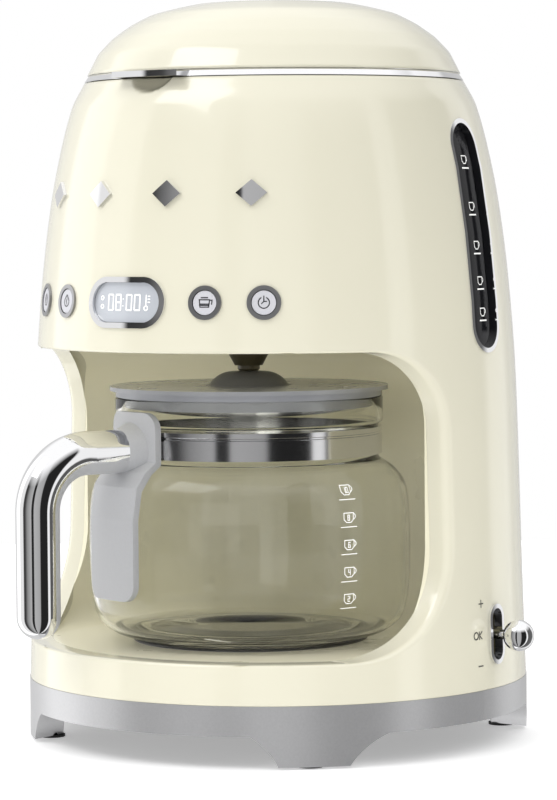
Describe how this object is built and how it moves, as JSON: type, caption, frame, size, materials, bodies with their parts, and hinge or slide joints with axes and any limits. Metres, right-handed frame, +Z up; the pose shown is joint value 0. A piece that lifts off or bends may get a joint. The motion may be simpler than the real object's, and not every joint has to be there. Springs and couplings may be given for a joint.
{
  "type": "drip coffee maker",
  "caption": "Rounded retro drip coffee maker with a cream enamel body, domed hinged lid, glass carafe with a chrome handle, four push buttons and a side lever.",
  "frame": {"origin": "bottom centre of the whole box, on the plane that the feet rest on", "axes": "+Z up, the front faces -Y, +X is to the right seen from the front"},
  "size_m": [0.2656, 0.2709, 0.361],
  "materials": {
    "cream_enamel": "glossy cream enamel",
    "cream_plastic": "glossy cream",
    "satin_silver": "satin",
    "chrome": "mirror",
    "dark_metal": "satin",
    "pale_plastic": "satin",
    "display_glass": "glossy",
    "black_plastic": "matt",
    "smoked_glass": "glossy smoked",
    "steel": "brushed",
    "rubber": "matt",
    "grey_plastic": "matt",
    "circuit_board": "solder mask",
    "clear_plastic": "translucent",
    "silicone": "satin",
    "aluminium": "satin",
    "dark_steel": "non-stick coating",
    "brown_plastic": "satin dark olive brown",
    "steel_mesh": "mesh",
    "clear_glass": "polished",
    "polished_steel": "polished",
    "smoke_plastic": "translucent grey",
    "dark_grey_plastic": "matt",
    "light_grey_plastic": "satin"
  },
  "bodies": {
    "machine": {"alcove_liner": "cream_plastic", "base_plate": "black_plastic", "base_ring": "satin_silver", "base_screws": "steel", "body_shell": "cream_enamel", "button_rings": "dark_metal", "button_switches": "black_plastic", "check_valve": "grey_plastic", "cold_hose": "silicone", "control_board": "circuit_board", "cord_gland": "black_plastic", "display_bezel": "chrome", "display_module": "black_plastic", "display_screen": "display_glass", "filter_holder": "brown_plastic", "foot_pads": "rubber", "front_badges": "chrome", "heater_clamp": "steel", "heater_tube": "aluminium", "hinge_bracket": "steel", "hinge_pin": "steel", "hot_hose": "silicone", "level_frame": "chrome", "level_window": "smoked_glass", "lever_bezel": "chrome", "lever_frame": "grey_plastic", "lever_switches": "black_plastic", "permanent_filter": "steel_mesh", "plate_seal": "silicone", "power_board": "circuit_board", "thermal_fuse": "steel", "thermostat": "steel", "top_deck": "grey_plastic", "warming_plate": "dark_steel", "water_nozzle": "grey_plastic", "water_tank": "clear_plastic"},
    "lid": {"lid_shell": "cream_enamel", "lid_trim_band": "chrome", "lid_inner_cover": "grey_plastic", "lid_hinge_arms": "steel", "shower_head": "grey_plastic", "lid_screws": "steel"},
    "push_1": {"button_1": "pale_plastic"},
    "push_2": {"button_2": "pale_plastic"},
    "push_3": {"button_3": "pale_plastic"},
    "push_4": {"button_4": "pale_plastic"},
    "carafe": {"carafe_glass": "clear_glass", "carafe_band": "polished_steel", "handle_core": "light_grey_plastic", "handle_shell": "chrome", "handle_clip": "steel"},
    "carafe_cap": {"carafe_lid": "smoke_plastic", "drip_dome": "dark_grey_plastic"},
    "valve": {"drip_valve": "brown_plastic"},
    "rocker": {"lever_rocker": "grey_plastic"},
    "stick": {"lever_rod": "chrome", "lever_ball": "chrome"}
  },
  "joints": [
    {"name": "lid_hinge", "type": "hinge", "parent": "machine", "child": "lid", "pos_m": [-0.0094, 0.1019, 0.326], "axis": [-1, 0, 0], "range_deg": [0, 78]},
    {"name": "button_1_push", "type": "slide", "parent": "machine", "child": "push_1", "axis": [0.5697, 0.815, -0.1057], "range_m": [0, 0.0012], "stiffness_N_per_m": 600, "springref_m": -0.0005},
    {"name": "button_2_push", "type": "slide", "parent": "machine", "child": "push_2", "axis": [0.3604, 0.9268, -0.1057], "range_m": [0, 0.0012], "stiffness_N_per_m": 600, "springref_m": -0.0005},
    {"name": "button_3_push", "type": "slide", "parent": "machine", "child": "push_3", "axis": [-0.3604, 0.9268, -0.1057], "range_m": [0, 0.0012], "stiffness_N_per_m": 600, "springref_m": -0.0005},
    {"name": "button_4_push", "type": "slide", "parent": "machine", "child": "push_4", "axis": [-0.5697, 0.815, -0.1057], "range_m": [0, 0.0012], "stiffness_N_per_m": 600, "springref_m": -0.0005},
    {"name": "lever_tilt", "type": "hinge", "parent": "machine", "child": "rocker", "pos_m": [0.1011, 0.0249, 0.0554], "axis": [0, -1, 0], "range_deg": [-12, 12], "stiffness_Nm_per_rad": 2},
    {"name": "lever_press", "type": "slide", "parent": "rocker", "child": "stick", "axis": [-1, 0, 0], "range_m": [0, 0.0012], "stiffness_N_per_m": 600, "springref_m": -0.0005},
    {"name": "carafe_slide", "type": "slide", "parent": "machine", "child": "carafe", "axis": [0, -1, 0], "range_m": [0, 0.26]},
    {"name": "carafe_lid_twist", "type": "hinge", "parent": "carafe", "child": "carafe_cap", "pos_m": [-0.0094, -0.0101, 0.172], "axis": [0, 0, 1], "range_deg": [0, 40]},
    {"name": "drip_valve_drop", "type": "slide", "parent": "machine", "child": "valve", "axis": [0, 0, -1], "range_m": [0, 0.00312]}
  ],
  "couplings": [
    {"joint": "drip_valve_drop", "follows": "carafe_slide", "ratio": 0.012}
  ]
}
